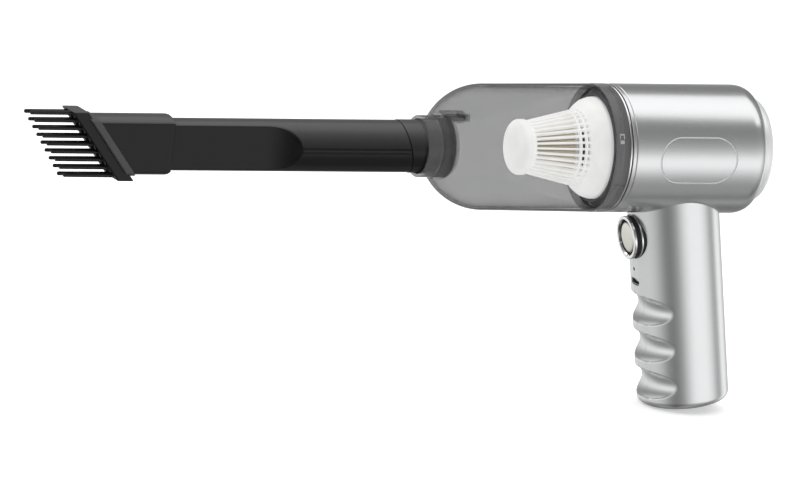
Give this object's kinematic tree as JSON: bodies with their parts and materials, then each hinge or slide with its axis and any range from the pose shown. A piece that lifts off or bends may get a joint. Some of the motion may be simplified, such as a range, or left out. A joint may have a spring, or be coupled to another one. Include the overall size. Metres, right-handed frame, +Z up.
{
  "type": "handheld vacuum",
  "caption": "Pistol-shaped cordless hand vacuum: silver motor body and grip, see-through dust cup with cone filter, long flat crevice nozzle and a slanted comb brush.",
  "frame": {"origin": "on the axis of the grip, at the middle of the hand hold", "axes": "-X is where the nozzle points, +X the exhaust end, +Z up, +Y the right-hand side seen from behind; the body axis is parallel to X"},
  "size_m": [0.4264, 0.0688, 0.1753],
  "materials": {
    "silver_paint": "silver metallic paint, satin, on moulded plastic",
    "pale_silver": "pale silver paint, satin",
    "bright_metal": "polished",
    "steel": "plain",
    "smoky_plastic": "clear, smoke grey",
    "dark_clear_plastic": "clear, dark grey",
    "black_plastic": "satin",
    "grey_plastic": "satin",
    "white_plastic": "satin",
    "pleat_paper": "pleated filter paper",
    "black_rubber": "matt",
    "foam": "open foam",
    "copper_windings": "enamelled wire on a steel core",
    "board_green": "circuit board",
    "cell_wrap": "shrink sleeve over a metal can"
  },
  "bodies": {
    "root": {"housing_left": "silver_paint", "housing_right": "silver_paint", "rear_cap": "pale_silver", "exhaust_foam": "foam", "trim_ring": "bright_metal", "front_frame": "grey_plastic", "fan_cover": "grey_plastic", "diffuser": "grey_plastic", "motor_can": "steel", "motor_front_plate": "steel", "stator": "copper_windings", "front_bearing": "steel", "rear_bearing": "steel", "rear_motor_bracket": "black_rubber", "button_bezel": "bright_metal", "button_gasket": "black_rubber", "switch_body": "grey_plastic", "button_spring": "steel", "control_board": "board_green", "indicator_light_pipe": "white_plastic", "usb_c_socket": "steel", "charging_board": "board_green", "cell_left": "cell_wrap", "cell_right": "cell_wrap", "cell_cradle": "grey_plastic", "case_screw_1": "steel", "case_screw_2": "steel", "case_screw_3": "steel", "case_screw_4": "steel", "case_screw_5": "steel"},
    "lock_ring": {"lock_ring": "dark_clear_plastic", "cup_seal": "black_rubber"},
    "dust_cup": {"dust_cup": "smoky_plastic", "flap_pin": "steel"},
    "inlet_flap": {"inlet_flap": "dark_clear_plastic", "flap_pad": "black_rubber"},
    "nozzle_cuff": {"nozzle_cuff": "black_plastic"},
    "nozzle": {"crevice_nozzle": "black_plastic"},
    "brush": {"brush_head": "black_plastic", "tine_comb_left": "black_plastic", "tine_comb_right": "black_plastic"},
    "filter": {"filter_frame": "white_plastic", "filter_element": "pleat_paper", "filter_seal": "black_rubber"},
    "button": {"button_cap": "bright_metal", "switch_plunger": "black_plastic"},
    "fan": {"impeller": "grey_plastic", "motor_shaft": "steel", "rotor_core": "steel"}
  },
  "joints": [
    {"name": "lock_ring_twist", "type": "hinge", "parent": "root", "child": "lock_ring", "pos_m": [-0.06192, 0, 0.1039], "axis": [1, 0, 0], "range_deg": [0, 20]},
    {"name": "cup_pull", "type": "slide", "parent": "lock_ring", "child": "dust_cup", "axis": [-1, 0, 0], "range_m": [0, 0.075]},
    {"name": "inlet_flap_swing", "type": "hinge", "parent": "dust_cup", "child": "inlet_flap", "pos_m": [-0.14272, 0, 0.1205], "axis": [0, -1, 0], "range_deg": [0, 45]},
    {"name": "nozzle_turn", "type": "hinge", "parent": "dust_cup", "child": "nozzle_cuff", "pos_m": [-0.16832, 0, 0.1039], "axis": [1, 0, 0], "continuous": true},
    {"name": "nozzle_pull", "type": "slide", "parent": "nozzle_cuff", "child": "nozzle", "axis": [-1, 0, 0], "range_m": [0, 0.02]},
    {"name": "brush_pull", "type": "slide", "parent": "nozzle", "child": "brush", "axis": [-1, 0, 0], "range_m": [0, 0.035]},
    {"name": "filter_pull", "type": "slide", "parent": "root", "child": "filter", "axis": [-1, 0, 0], "range_m": [0, 0.009]},
    {"name": "button_press", "type": "slide", "parent": "root", "child": "button", "axis": [0.9848, 0, 0.1736], "range_m": [0, 0.0012], "stiffness_N_per_m": 500, "springref_m": -0.001},
    {"name": "fan_spin", "type": "hinge", "parent": "root", "child": "fan", "pos_m": [-0.03832, 0, 0.1039], "axis": [1, 0, 0], "continuous": true}
  ]
}
